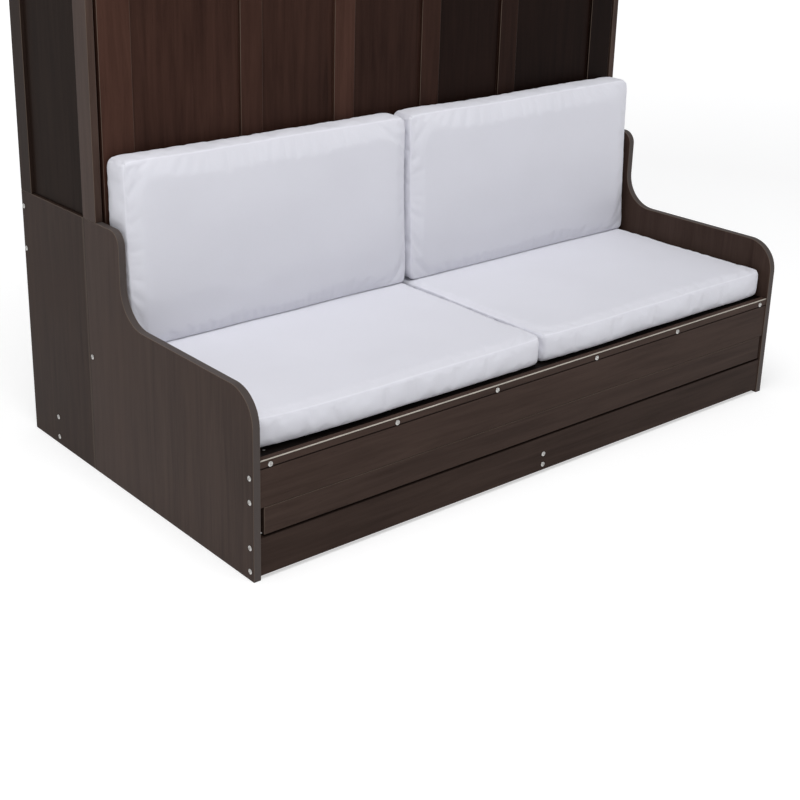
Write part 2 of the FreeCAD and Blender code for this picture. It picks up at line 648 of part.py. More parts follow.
def cushions():
    """Two seat cushions on the deck and two back cushions standing on them."""
    width = "(overall_width - 2 * board - cushion_split) / 2 - cushion_side_gap"
    seat_z = "deck_level + screw_head_height + soft_gap"
    back_z = seat_z + " + seat_thick + 2 * soft_gap"
    for side, name in SIDES:
        x = f"-cushion_split / 2 - ({width})" if side < 0 else "cushion_split / 2"
        size = (width, "cabinet_front - cushion_side_gap - seat_front", "seat_thick")
        board(f"seat_cushion_{name}", size, (x, FRONT + " + seat_front", seat_z), "cushion_round")
        size = (width, "back_thick", "back_height")
        board(f"back_cushion_{name}", size, (x, FRONT + " + back_front", back_z), "cushion_round")


def check(obj):
    """Stops if a feature failed."""
    if "Invalid" in obj.State or "Error" in obj.State:
        raise RuntimeError(f"{obj.Label} failed: {obj.State}")


for side, name in SIDES:
    arm(side, name)
    cabinet_side(side, name)
side_top_rails()
cross_rails()
seat_front()
seat_deck()
bolts()
deck_screws()
pivots()
catches()
bed_face()
bed_frame()
mattress()
for side, name in SIDES:
    leg(side, name)
leg_brackets()
pull_handles()
cushions()

doc.recompute()
for obj in doc.Objects:
    check(obj)
os.makedirs("parts", exist_ok=True)
for node in nodes:
    if node.Shape.isNull() or not node.Shape.isValid():
        raise RuntimeError(f"{node.Label} has no valid shape")
    node.Shape.exportStep(f"parts/{node.Label}.step")
print(len(nodes), "nodes")
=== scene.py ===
import json
import math
import random

import bpy
import numpy as np
from mathutils import Matrix, Vector, noise


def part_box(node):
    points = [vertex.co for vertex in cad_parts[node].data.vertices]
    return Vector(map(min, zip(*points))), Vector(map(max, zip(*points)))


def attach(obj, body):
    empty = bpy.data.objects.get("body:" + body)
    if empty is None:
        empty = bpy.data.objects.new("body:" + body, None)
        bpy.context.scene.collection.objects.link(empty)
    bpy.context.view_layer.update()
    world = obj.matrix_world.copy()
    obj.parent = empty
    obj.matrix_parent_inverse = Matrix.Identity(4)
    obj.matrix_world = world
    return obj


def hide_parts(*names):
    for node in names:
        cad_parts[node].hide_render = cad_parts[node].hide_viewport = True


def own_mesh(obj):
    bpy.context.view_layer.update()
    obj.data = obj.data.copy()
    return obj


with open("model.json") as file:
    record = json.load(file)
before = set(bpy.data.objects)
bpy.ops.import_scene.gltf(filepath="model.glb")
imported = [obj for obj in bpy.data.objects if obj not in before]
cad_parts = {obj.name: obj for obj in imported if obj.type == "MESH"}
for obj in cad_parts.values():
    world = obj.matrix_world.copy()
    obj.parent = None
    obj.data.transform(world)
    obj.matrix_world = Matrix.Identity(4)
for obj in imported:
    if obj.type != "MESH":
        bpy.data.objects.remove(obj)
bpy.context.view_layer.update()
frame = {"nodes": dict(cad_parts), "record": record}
nodes = frame["nodes"]
MM = 0.001
SIDES = ("left", "right")


# ---- node materials ----


class Finish:
    """A node material, with short ways to add nodes and join them."""

    def __init__(self, name, **sockets):
        self.material = bpy.data.materials.new(name)
        self.material.use_nodes = True
        self.tree = self.material.node_tree
        self.shader = self.tree.nodes["Principled BSDF"]
        self.place = self.add("TexCoord")
        for socket, number in sockets.items():
            self.feed(self.shader.inputs[socket.replace("_", " ")], number)

    def feed(self, socket, source):
        """Sets a socket, or links it where the source is another node's output."""
        if isinstance(source, bpy.types.NodeSocket):
            self.tree.links.new(source, socket)
        else:
            socket.default_value = source

    def add(self, kind, inputs=None, **settings):
        node = self.tree.nodes.new("ShaderNode" + kind)
        for name, setting in settings.items():
            setattr(node, name, setting)
        for name, source in (inputs or {}).items():
            self.feed(node.inputs[name], source)
        return node

    def spot(self, scale=(1, 1, 1), shift=(0, 0, 0)):
        """The piece's own coordinates in metres, shifted and then stretched."""
        moved = self.add("VectorMath", {0: self.place.outputs["Object"], 1: shift}, operation="ADD")
        return self.add("VectorMath", {0: moved.outputs[0], 1: scale}, operation="MULTIPLY").outputs[0]

    def noise(self, where, scale, detail=3.0, roughness=0.5, distortion=0.0):
        inputs = {"Vector": where, "Scale": scale, "Detail": detail, "Roughness": roughness}
        return self.add("TexNoise", {**inputs, "Distortion": distortion}).outputs["Fac"]

    def math(self, operation, first, second=0.0):
        return self.add("Math", {0: first, 1: second}, operation=operation).outputs[0]

    def spread(self, source, low, high, to_low=0.0, to_high=1.0):
        """Stretches the values between low and high to a new range, and clamps them."""
        inputs = {"Value": source, "From Min": low, "From Max": high, "To Min": to_low, "To Max": to_high}
        return self.add("MapRange", inputs, clamp=True).outputs[0]

    def mix(self, share, first, second, kind="MIX"):
        node = self.add("Mix", data_type="RGBA", blend_type=kind)
        for index, source in ((0, share), (6, first), (7, second)):
            self.feed(node.inputs[index], source)
        return node.outputs[2]

    def bump(self, height, strength, distance):
        node = self.add("Bump", {"Height": height, "Strength": strength, "Distance": distance})
        before = self.shader.inputs["Normal"]
        if before.links:
            self.feed(node.inputs["Normal"], before.links[0].from_socket)
        self.feed(before, node.outputs[0])

    def edges(self, curved_outline=False):
        """1 on the rounded edges of a board and 0 on its flat faces, from how far its normal is tilted."""
        parts = self.add("SeparateXYZ", {0: self.place.outputs["Normal"]}).outputs
        x, y, z = (self.math("ABSOLUTE", part) for part in parts)
        total = self.math("ADD", self.math("MULTIPLY", x, y), self.math("MULTIPLY", x, z))
        if not curved_outline:
            total = self.math("ADD", total, self.math("MULTIPLY", y, z))
        return self.spread(total, 0.06, 0.42)


def rgb(red, green, blue):
    return (red, green, blue, 1.0)


def scaled(colour, factor):
    return rgb(*(part * factor for part in colour))


STRETCH = {"x": (1, 16, 16), "y": (16, 1, 16), "z": (16, 16, 1)}
ESPRESSO = ((0.0185, 0.0105, 0.0080), (0.038, 0.0240, 0.0190))
# Rubbed paint on up-facing edges, made paler as a painted highlight.
ESPRESSO_RUB_AND_HIGHLIGHT = (0.15, 0.115, 0.09)
UMBER = ((0.0150, 0.0062, 0.0042), (0.0380, 0.0175, 0.0125))
# Painted highlight: the lighter, greyer colour of an arm's rounded edge band, standing in for the light it
# reflects.
ARM_EDGE_HIGHLIGHT = (0.080, 0.068, 0.064)
# Painted shade: near-black for down-facing edges and for joints that lie in shadow.
PAINTED_SHADE = (0.006, 0.004, 0.0035)
PINE_PALE = (0.62, 0.43, 0.24)
PINE_RING = (0.42, 0.25, 0.12)
PINE_KNOT = (0.13, 0.06, 0.03)


def painted_wood(name, axis, seed, tone, gloss, shades, outline=False, rim=ESPRESSO_RUB_AND_HIGHLIGHT, bands=()):
    """Dark satin paint over wood: grain that shows through, pores, cloudy sheen, and edges rubbed with a
    painted highlight above and painted shade below. outline marks a board with a curved outline, whose
    rounded edge band takes a painted highlight. bands are strips of painted light or shade along a joint:
    axis number, from, to, colour and strength."""
    dark, light = shades
    draw = random.Random(seed)
    shift = [draw.uniform(-4, 4) for _ in range(3)]
    tone *= draw.uniform(0.93, 1.07)
    finish = Finish(name, Specular_IOR_Level=gloss, Coat_Weight=0.02, Coat_Roughness=0.2)
    along = finish.spot(STRETCH[axis], shift)
    cloud = finish.noise(finish.spot((1, 1, 1), shift), 3.2, 2.0)
    grain = finish.noise(along, 3.4, 6.0, 0.62, 0.5)
    pores = finish.noise(finish.spot([4 * s for s in STRETCH[axis]], shift), 7.0, 3.0, 0.6)
    colour = finish.mix(finish.spread(grain, 0.28, 0.74), scaled(dark, tone), scaled(light, tone))
    colour = finish.mix(finish.spread(cloud, 0.3, 0.75, 0.0, 0.45), colour, scaled(light, tone * 1.12))
    colour = finish.mix(finish.spread(pores, 0.62, 0.8, 0.0, 0.5), colour, scaled(dark, tone * 0.45))
    normal = finish.add("SeparateXYZ", {0: finish.place.outputs["Normal"]}).outputs
    # A curved board's rounded edge band takes a painted highlight.
    if outline:
        edge_highlight_share = finish.spread(finish.math("ABSOLUTE", normal[0]), 0.35, 0.8, 0.8, 0.0)
        colour = finish.mix(edge_highlight_share, colour, rgb(*ARM_EDGE_HIGHLIGHT))
    # Edges: rubbed paint with a painted highlight where they face up, painted shade where they face down.
    rub_and_light_share = finish.math("MULTIPLY", finish.edges(outline), finish.spread(cloud, 0.2, 0.8, 0.4, 0.9))
    worn = finish.mix(finish.spread(normal[2], -0.3, -0.1), rgb(*PAINTED_SHADE), rgb(*rim))
    colour = finish.mix(rub_and_light_share, colour, worn)
    where = finish.add("SeparateXYZ", {0: finish.place.outputs["Object"]}).outputs
    # Strips of painted light or shade along a joint.
    for number, start, end, tint, strength in bands:
        inside = finish.math("MULTIPLY", finish.math("GREATER_THAN", where[number], start), strength)
        inside = finish.math("MULTIPLY", finish.math("LESS_THAN", where[number], end), inside)
        colour = finish.mix(inside, colour, rgb(*tint))
    finish.feed(finish.shader.inputs["Base Color"], colour)
    sheen = finish.spread(cloud, 0.2, 0.8, 0.30, 0.44)
    rough = finish.math("ADD", sheen, finish.spread(grain, 0.3, 0.8, 0.0, 0.08))
    finish.feed(finish.shader.inputs["Roughness"], rough)
    finish.bump(grain, 0.10, 0.4 * MM)
    finish.bump(pores, 0.16, 0.2 * MM)
    return finish.material


def bare_wood(name, axis, seed):
    """Planed pine: pale wood with darker growth lines, pores and a few knots."""
    draw = random.Random(seed)
    shift = [draw.uniform(-4, 4) for _ in range(3)]
    finish = Finish(name, Specular_IOR_Level=0.3)
    along = finish.spot([s * (0.5 if s > 1 else 0.35) for s in STRETCH[axis]], shift)
    swirl = finish.noise(along, 2.6, 2.0, 0.5, 0.8)
    rings = finish.math("FRACT", finish.math("MULTIPLY", swirl, 14.0))
    fine = finish.noise(finish.spot([5 * s for s in STRETCH[axis]], shift), 6.0, 4.0, 0.65)
    cells = finish.add("TexVoronoi", {"Vector": finish.spot((1, 1, 1), shift), "Scale": 2.4})
    knots = finish.spread(cells.outputs["Distance"], 0.02, 0.06, 0.85, 0.0)
    colour = finish.mix(finish.spread(rings, 0.35, 1.0, 0.0, 0.75), rgb(*PINE_PALE), rgb(*PINE_RING))
    colour = finish.mix(finish.spread(fine, 0.45, 0.75, 0.0, 0.4), colour, scaled(PINE_RING, 0.7))
    colour = finish.mix(knots, colour, rgb(*PINE_KNOT))
    finish.feed(finish.shader.inputs["Base Color"], colour)
    finish.feed(finish.shader.inputs["Roughness"], finish.spread(fine, 0.3, 0.8, 0.5, 0.72))
    finish.bump(rings, 0.08, 0.3 * MM)
    finish.bump(fine, 0.2, 0.25 * MM)
    return finish.material


def bare_edge(name):
    """A sanded, uncoloured edge under clear varnish: cream, with faint streaks and scuffs."""
    finish = Finish(name, Specular_IOR_Level=0.5, Coat_Weight=0.3, Coat_Roughness=0.25)
    streaks = finish.noise(finish.spot((6, 60, 60)), 4.0, 4.0, 0.6)
    scuffs = finish.noise(finish.spot((3, 20, 20)), 9.0, 5.0, 0.7)
    colour = finish.mix(finish.spread(streaks, 0.3, 0.75), rgb(0.50, 0.46, 0.40), rgb(0.34, 0.31, 0.26))
    colour = finish.mix(finish.spread(scuffs, 0.66, 0.8, 0.0, 0.7), colour, rgb(0.12, 0.09, 0.07))
    finish.feed(finish.shader.inputs["Base Color"], colour)
    finish.feed(finish.shader.inputs["Roughness"], finish.spread(streaks, 0.3, 0.7, 0.3, 0.45))
    finish.bump(streaks, 0.1, 0.2 * MM)
    return finish.material


def metal(name, colour, roughness, grain):
    """Plated steel: fine rolling marks, cloudy plating and small pits."""
    finish = Finish(name, Metallic=1.0)
    streaks = finish.noise(finish.spot(grain), 40.0, 4.0, 0.6)
    cloud = finish.noise(finish.spot(), 55.0, 3.0)
    pits = finish.noise(finish.spot(), 900.0, 2.0)
    base = finish.mix(finish.spread(cloud, 0.3, 0.75, 0.0, 0.3), rgb(*colour), scaled(colour, 0.55))
    finish.feed(finish.shader.inputs["Base Color"], base)
    rough = finish.spread(streaks, 0.3, 0.75, roughness * 0.7, roughness * 1.4)
    finish.feed(finish.shader.inputs["Roughness"], rough)
    finish.bump(streaks, 0.12, 0.1 * MM)
    finish.bump(pits, 0.08, 0.1 * MM)
    return finish.material


def cloth(name, colour, pitch, strength, fuzz, shade, seam, seam_tone):
    """Woven cover: threads both ways, slubs, soft colour drift and a fuzzy sheen at the edge. The seams take
    the colour times seam_tone, by the share seam."""
    finish = Finish(name, Sheen_Weight=fuzz, Sheen_Roughness=0.45, Specular_IOR_Level=0.28)
    threads = None
    turns = 2 * math.pi / pitch
    parts = finish.add("SeparateXYZ", {0: finish.place.outputs["Object"]}).outputs
    for part in parts:
        wave = finish.math("SINE", finish.math("MULTIPLY", part, turns))
        threads = wave if threads is None else finish.math("ADD", threads, wave)
    slub = finish.noise(finish.spot(), 420.0, 2.0, 0.6)
    drift = finish.noise(finish.spot(), 5.0, 3.0)
    line = finish.add("Attribute", attribute_name="seam").outputs["Fac"]
    base = finish.mix(finish.spread(drift, 0.3, 0.72), rgb(*colour), scaled(colour, shade))
    base = finish.mix(finish.spread(slub, 0.5, 0.8, 0.0, 0.12), base, scaled(colour, 0.8))
    base = finish.mix(finish.spread(line, 0.1, 0.9, 0.0, seam), base, scaled(colour, seam_tone))
    finish.feed(finish.shader.inputs["Base Color"], base)
    finish.feed(finish.shader.inputs["Roughness"], finish.spread(slub, 0.3, 0.7, 0.62, 0.8))
    finish.bump(threads, strength, 0.12 * MM)
    finish.bump(slub, strength * 0.8, 0.15 * MM)
    return finish.material


def webbing(name):
    """Black strap: a ribbed weave across its width, with worn, slightly paler ribs."""
    finish = Finish(name, Sheen_Weight=0.25, Specular_IOR_Level=0.35)
    parts = finish.add("SeparateXYZ", {0: finish.place.outputs["Object"]}).outputs
    ribs = finish.math("SINE", finish.math("MULTIPLY", parts[2], 2 * math.pi / (2.5 * MM)))
    picks = finish.math("SINE", finish.math("MULTIPLY", parts[0], 2 * math.pi / (1.6 * MM)))
    weave = finish.math("MULTIPLY", ribs, picks)
    colour = finish.mix(finish.spread(weave, -0.4, 1.0), rgb(0.018, 0.018, 0.02), rgb(0.05, 0.05, 0.055))
    finish.feed(finish.shader.inputs["Base Color"], colour)
    finish.feed(finish.shader.inputs["Roughness"], finish.spread(weave, -1.0, 1.0, 0.75, 0.55))
    finish.bump(weave, 0.5, 0.4 * MM)
    return finish.material


def nylon(name):
    """Natural nylon: milky, slightly uneven and faintly marked by turning."""
    finish = Finish(name, Subsurface_Weight=0.15, Specular_IOR_Level=0.45)
    finish.shader.inputs["Subsurface Radius"].default_value = (0.004, 0.004, 0.003)
    cloud = finish.noise(finish.spot(), 60.0, 3.0)
    rings = finish.noise(finish.spot((1, 30, 30)), 30.0, 3.0)
    colour = finish.mix(finish.spread(cloud, 0.3, 0.7), rgb(0.76, 0.74, 0.68), rgb(0.66, 0.63, 0.55))
    finish.feed(finish.shader.inputs["Base Color"], colour)
    finish.feed(finish.shader.inputs["Roughness"], finish.spread(rings, 0.3, 0.7, 0.35, 0.5))
    finish.bump(rings, 0.1, 0.1 * MM)
    return finish.material


def dress(obj, material):
    """Gives every slot of a piece one material."""
    if not obj.data.materials:
        obj.data.materials.append(material)
    for index in range(len(obj.material_slots)):
        obj.material_slots[index].material = material


# ---- the CAD nodes' finishes ----


def longest_axis(node):
    low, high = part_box(node)
    size = high - low
    return "xyz"[max(range(3), key=lambda axis: size[axis])]


# Name start: depth of colour and gloss of the cabinet's boards, matched to how bright each looks under the
# light, so the depths hold some painted light and shade as well as the boards' tone.
BOARDS = {
    "arm_": (1.66, 0.05),
    "side_panel": (1.18, 0.03),
    "side_inset": (0.62, 0.012),
    "front_stile": (1.95, 0.07),
    "rear_stile": (0.85, 0.03),
    "seat_apron": (1.56, 0.04),
    "seat_infill": (1.4, 0.04),
    "toe_board": (1.28, 0.03),
    "seat_nosing": (1.6, 0.05),
    # Painted shade: the seat deck is near-black for the deep shadow under the cushions.
    "seat_deck": (0.14, 0.05),
}
OTHER_BOARD = (1.0, 0.05)
# Boards whose edges all take the painted shade, for the shadowed joints between them.
SHADED_EDGE_BOARDS = ("seat_nosing", "seat_apron", "toe_board")
# Where an arm meets a side panel: painted shade on the arm's last strip and a painted highlight on the
# panel's first one.
ARM_BAND, ARM_BAND_STRENGTH = 4 * MM, 0.55
PANEL_BAND, PANEL_BAND_STRENGTH = 6 * MM, 0.22
BEYOND = 1.0
# The bed's boards: depth of colour in the middle; its fall per metre to the right, a painted shade for light
# falling off across the face; and each board's own, which also holds painted light and shade.
BED_BOARDS = ("face_", "bed_side_rail", "head_rail", "foot_rail")
BED_TONE, BED_SHADE_FALL, BED_STILE, BED_GLOSS = 0.86, 0.95, 1.3, 0.03
BED_TONES_AND_LIGHT = {
    "face_stile_1": 0.92,
    "face_stile_2": 0.84,
    "face_stile_3": 1.28,
    "face_stile_4": 1.12,
    "face_stile_6": 1.6,
    "face_inset_4": 0.72,
    "face_inset_5": 1.1,
    # Painted light: the lower panel is lightened against the cushions' shadow and for the light along its
    # top edge.
    "face_lower_panel": 1.5,
}


def bed_paint(node, axis, number):
    low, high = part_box(node)
    # Darker towards the right: painted shade for the light falling off across the bed's face.
    tone = BED_TONE - BED_SHADE_FALL * (low.x + high.x) / 2
    tone *= BED_STILE if "stile" in node else 1.0
    # Each bed board's own depth of colour, which also holds painted light and shade.
    tone *= BED_TONES_AND_LIGHT.get(node, 1.0)
    return painted_wood(node + "_paint", axis, number, tone, BED_GLOSS, UMBER)


def cabinet_paint(node, axis, number):
    low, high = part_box(node)
    tone, gloss = next((BOARDS[start] for start in BOARDS if node.startswith(start)), OTHER_BOARD)
    # Edges of the shaded boards take painted shade; the others rubbed paint with a painted highlight.
    rim = PAINTED_SHADE if node in SHADED_EDGE_BOARDS else ESPRESSO_RUB_AND_HIGHLIGHT
    arm = node.startswith("arm_")
    bands = []
    # Painted shade on the arm's rear strip and a painted highlight on the side panel's front strip, at their
    # joint.
    if arm:
        bands.append((1, high.y - ARM_BAND, high.y + BEYOND, PAINTED_SHADE, ARM_BAND_STRENGTH))
    if node.startswith("side_panel"):
        bands.append((1, low.y - BEYOND, low.y + PANEL_BAND, ESPRESSO_RUB_AND_HIGHLIGHT, PANEL_BAND_STRENGTH))
    grain = "z" if arm else axis
    return painted_wood(node + "_paint", grain, number, tone, gloss, ESPRESSO, arm, rim, bands)


def finish_boards():
    slots = {part["node"]: part["material_slot"] for part in frame["record"]["subparts"]}
    for number, (node, slot) in enumerate(sorted(slots.items())):
        axis = longest_axis(node)
        if slot == "slat_wood":
            dress(nodes[node], bare_wood(node + "_pine", axis, number))
        elif slot == "espresso_wood" and node.startswith(BED_BOARDS):
            dress(nodes[node], bed_paint(node, axis, number))
        elif slot == "espresso_wood":
            dress(nodes[node], cabinet_paint(node, axis, number))


BRIGHT = metal("bright_plate", (0.60, 0.59, 0.57), 0.40, (1, 1, 1))
ZINC = metal("zinc_plate", (0.55, 0.56, 0.57), 0.34, (1, 1, 12))
BUSH = nylon("bush_nylon")
# The cover's seams are lightened: a painted highlight along the welted edges of the cushions.
COVER = cloth(
    "cushion_cover",
    (0.72, 0.72, 0.777),
    pitch=0.9 * MM,
    strength=0.12,
    fuzz=0.18,
    shade=0.97,
    seam=0.6,
    seam_tone=1.12,
)
TICKING = cloth(
    "mattress_ticking",
    (0.74, 0.72, 0.66),
    pitch=1.1 * MM,
    strength=0.35,
    fuzz=0.15,
    shade=0.93,
    seam=0.22,
    seam_tone=0.6,
)
EDGE = bare_edge("pale_edge")
STRAP = webbing("strap_webbing")


ZINC_NODES = ("cabinet_pivot_plates", "pivot_pins", "bed_pivot_plates", "leg_brackets", "magnetic_catches")


def finish_metal():
    for node in ZINC_NODES:
        dress(nodes[node], ZINC)
    dress(nodes["pivot_bushes"], BUSH)


# ---- meshes ----


def piece(name, vertices, faces, material, body, slot, smooth=True):
    """A new mesh piece that rides on a body; its slot is not used."""
    mesh = bpy.data.meshes.new(name)
    mesh.from_pydata([tuple(v) for v in vertices], [], [tuple(f) for f in faces])
    mesh.validate()
    obj = bpy.data.objects.new(name, mesh)
    bpy.context.scene.collection.objects.link(obj)
    if smooth:
        mesh.polygons.foreach_set("use_smooth", [True] * len(mesh.polygons))
    dress(obj, material)
    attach(obj, body)
    return obj


def solids(node):
    """The box of each separate solid in a CAD node, as (low, high)."""
    mesh = nodes[node].data
    keys = [tuple(round(c, 5) for c in v.co) for v in mesh.vertices]
    parent = {key: key for key in keys}

    def root(key):
        while parent[key] != key:
            parent[key] = parent[parent[key]]
            key = parent[key]
        return key

    for polygon in mesh.polygons:
        first = root(keys[polygon.vertices[0]])
        for index in polygon.vertices[1:]:
            parent[root(keys[index])] = first
    groups = {}
    for key in parent:
        groups.setdefault(root(key), []).append(key)
    boxes = []
    for points in groups.values():
        points = np.array(points)
        boxes.append((Vector(points.min(0)), Vector(points.max(0))))
    return sorted(boxes, key=lambda ends: tuple(round(c, 4) for c in ends[0]))


def frame_to(direction, at):
    """A matrix that takes +Z to a direction and the origin to a point."""
    turn = Vector(direction).to_track_quat("Z", "Y").to_matrix().to_4x4()
    return Matrix.Translation(at) @ turn


def ring(outline, height, count):
    """Points round the axis at a height, where outline gives the radius at each angle."""
    angles = [2 * math.pi * step / count for step in range(count)]
    return [Vector((outline(a) * math.cos(a), outline(a) * math.sin(a), height)) for a in angles]


def lofted(rings):
    """Closed skin over a list of rings, with a point in the middle of each end."""
    count = len(rings[0])
    vertices = [point for points in rings for point in points]
    faces = []
    for level in range(len(rings) - 1):
        for step in range(count):
            low, high = level * count, (level + 1) * count
            after = (step + 1) % count
            faces.append((low + step, low + after, high + after, high + step))
    for level, flip in ((0, True), (len(rings) - 1, False)):
        middle = sum(rings[level], Vector()) / count
        vertices.append(middle)
        for step in range(count):
            face = (level * count + step, level * count + (step + 1) % count, len(vertices) - 1)
            faces.append(face[::-1] if flip else face)
    return vertices, faces


def merged(parts):
    """Several (vertices, faces) as one."""
    vertices, faces = [], []
    for more, skins in parts:
        start = len(vertices)
        vertices += more
        faces += [tuple(index + start for index in face) for face in skins]
    return vertices, faces


def placed(part, matrix):
    return [matrix @ point for point in part[0]], part[1]


def hexagon(across):
    """Radius of a hexagon of a given width across its flats, at an angle."""
    step = math.pi / 3
    return lambda angle: across / 2 / math.cos((angle % step) - step / 2)


def cross(reach, width):
    """Radius of a cross-shaped recess at an angle."""

    def radius(angle):
        c, s = max(abs(math.cos(angle)), 1e-6), max(abs(math.sin(angle)), 1e-6)
        return max(min(reach / c, width / s), min(reach / s, width / c))

    return radius


SCREW_STEPS = 48
TURNED_STEPS = 40
TIP = 0.6
RIM = 0.15
DOME_STEPS = 5


def circle(size):
    return lambda angle: size


def screw(radius, dome, recess, depth, shank_radius, shank_length):
    """A domed head with a recess above z = 0 and a shank below it. TIP is the shank's narrow end and RIM the
    head's upright edge, as shares of the shank's radius and the head's height."""
    levels = [
        (circle(shank_radius * TIP), -shank_length),
        (circle(shank_radius), -shank_length + shank_radius * TIP),
        (circle(shank_radius), -0.05 * MM),
        (circle(radius * 0.97), 0.0),
        (circle(radius), dome * RIM),
    ]
    for step in range(1, DOME_STEPS + 1):
        angle = math.radians(14 * step)
        levels.append((circle(radius * math.cos(angle)), dome * (RIM + (1 - RIM) * math.sin(angle))))
    top = dome * 0.99
    levels.append((lambda angle: recess(angle) * 1.08, top))
    levels.append((recess, top - 0.1 * MM))
    levels.append((lambda angle: recess(angle) * 0.94, top - depth))
    return lofted([ring(outline, height, SCREW_STEPS) for outline, height in levels])


# Head radius and height, recess and its depth, and shank radius.
BOLT = (6 * MM, 2.2 * MM, hexagon(4.6 * MM), 1.7 * MM, 3 * MM)
DECK_SCREW = (3.5 * MM, 0.5 * MM, cross(2.1 * MM, 0.45 * MM), 0.9 * MM, 1.8 * MM)
BOLT_SUNK, DECK_SCREW_SUNK = 1.5 * MM, 0.3 * MM
FRONT_BOLT_LENGTH, DECK_SCREW_LENGTH = 50 * MM, 15.5 * MM
SIDE_BOLT_SHORT = 2 * MM


def fasteners(name, node, shape, direction, sunk, length, turns):
    """A screw in the place of each solid of a node. Its head faces along direction, or away from the middle
    where that is None, and starts sunk below the solid's end. Where length is None, the solid gives it.
    turns sets how far round each head is, in radians per metre of its place."""
    parts = []
    for low, high in solids(node):
        way = Vector(direction or (math.copysign(1, low.x), 0, 0))
        reach = abs((high - low).dot(way))
        face = (low + high) / 2 + way * (reach / 2 - sunk)
        made = screw(*shape, length or reach - SIDE_BOLT_SHORT)
        spin = Matrix.Rotation(face.dot(Vector(turns)), 4, "Z")
        parts.append(placed(made, frame_to(way, face) @ spin))
    obj = piece(name, *merged(parts), BRIGHT, "cabinet", "bright_steel")
    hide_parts(node)


def bolts():
    """Button-head bolts on both sides and across the front, and small deck screws."""
    fasteners("side_bolt_heads", "side_bolts", BOLT, None, BOLT_SUNK, None, (0, 0, 40))
    ahead, up = (0, -1, 0), (0, 0, 1)
    fasteners("front_bolt_heads", "front_bolts", BOLT, ahead, BOLT_SUNK, FRONT_BOLT_LENGTH, (30, 0, 0))
    shape, sunk, length = DECK_SCREW, DECK_SCREW_SUNK, DECK_SCREW_LENGTH
    fasteners("deck_screw_heads", "deck_screws", shape, up, sunk, length, (9, 0, 0))


def turned(profile):
    """A solid of revolution about +Z from (radius, height) pairs, from bottom to top."""
    return lofted([ring(circle(size), height, TURNED_STEPS) for size, height in profile])


BAR_RADIUS = 5 * MM
PULL_FEET = 64 * MM
# A pull's foot: radius and height of its flange, and its radii halfway, near the bar and at it.
FLANGE = ((6.5 * MM, 0), (7.5 * MM, 0.6 * MM), (7.5 * MM, 2 * MM), (6.6 * MM, 2.8 * MM), (4.2 * MM, 4 * MM))
STEM = (4 * MM, 4.2 * MM, 4.6 * MM)
STEM_FLARE = 2 * MM


def handles():
    """Bar pulls: a bar with rounded ends on two turned feet with small flanges."""
    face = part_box("pull_handles")[1].y
    angles = np.linspace(0.15, math.pi / 2, 7)
    end = [(BAR_RADIUS * math.sin(a), BAR_RADIUS * (1 - math.cos(a))) for a in angles]
    parts = []
    for low, high in solids("pull_handles"):
        x, length = (low.x + high.x) / 2, high.z - low.z
        bar_y = low.y + BAR_RADIUS
        bar = end + [(radius, length - height) for radius, height in reversed(end)]
        parts.append(placed(turned(bar), Matrix.Translation((x, bar_y, low.z))))
        reach = high.y - bar_y
        foot = [*FLANGE, (STEM[0], reach / 2), (STEM[1], reach - STEM_FLARE), (STEM[2], reach)]
        for offset in (-PULL_FEET, PULL_FEET):
            spot = Vector((x, face, (low.z + high.z) / 2 + offset))
            parts.append(placed(turned(foot), frame_to((0, -1, 0), spot)))
    obj = piece("bar_pulls", *merged(parts), BRIGHT, "bed", "bright_steel")
    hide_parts("pull_handles")


STRIP_SIZE, STRIP_PROUD, STRIP_BACK = 2.0 * MM, 0.7 * MM, 1 * MM
STRIP_END = 0.5 * MM
STRIP_RINGS, STRIP_CURVE = 120, 8


def nosing_edge():
    """The pale bare edge along the top of the nosing: a slim half-round strip."""
    low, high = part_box("seat_nosing")
    outline = []
    for step in range(STRIP_CURVE + 1):
        angle = math.pi / 2 * step / STRIP_CURVE
        y = low.y - STRIP_PROUD + STRIP_SIZE * (1 - math.sin(angle))
        outline.append((y, high.z + STRIP_PROUD - STRIP_SIZE * (1 - math.cos(angle))))
    outline.append((low.y + STRIP_BACK, high.z - STRIP_SIZE + STRIP_PROUD))
    outline.append((low.y + STRIP_SIZE, high.z - STRIP_BACK))
    rings = []
    for step in range(STRIP_RINGS + 1):
        x = low.x + STRIP_END + (high.x - low.x - 2 * STRIP_END) * step / STRIP_RINGS
        rings.append([Vector((x, y, z)) for y, z in outline])
    piece("nosing_edge", *lofted(rings), EDGE, "cabinet", "slat_wood")


# ---- soft goods ----


def stations(length, rim, fine, coarse):
    """Positions along a side, close together near both ends."""
    edge = np.linspace(0, rim, max(2, round(rim / fine) + 1))
    middle = np.linspace(rim, length - rim, max(2, round((length - 2 * rim) / coarse) + 1))
    return np.concatenate([edge[:-1], middle, length - edge[::-1][1:]])


def box_skin(counts):
    """Grid over a box's six faces: lattice places as whole numbers, and quads that face outwards."""
    index, places, faces = {}, [], []

    def vertex(place):
        if place not in index:
            index[place] = len(places)
            places.append(place)
        return index[place]

    for axis in range(3):
        u, v = (axis + 1) % 3, (axis + 2) % 3
        for end in (0, counts[axis]):
            for i in range(counts[u]):
                for j in range(counts[v]):
                    quad = []
                    for di, dj in ((0, 0), (1, 0), (1, 1), (0, 1)):
                        place = [0, 0, 0]
                        place[axis], place[u], place[v] = end, i + di, j + dj
                        quad.append(vertex(tuple(place)))
                    faces.append(quad if end else quad[::-1])
    return np.array(places), faces


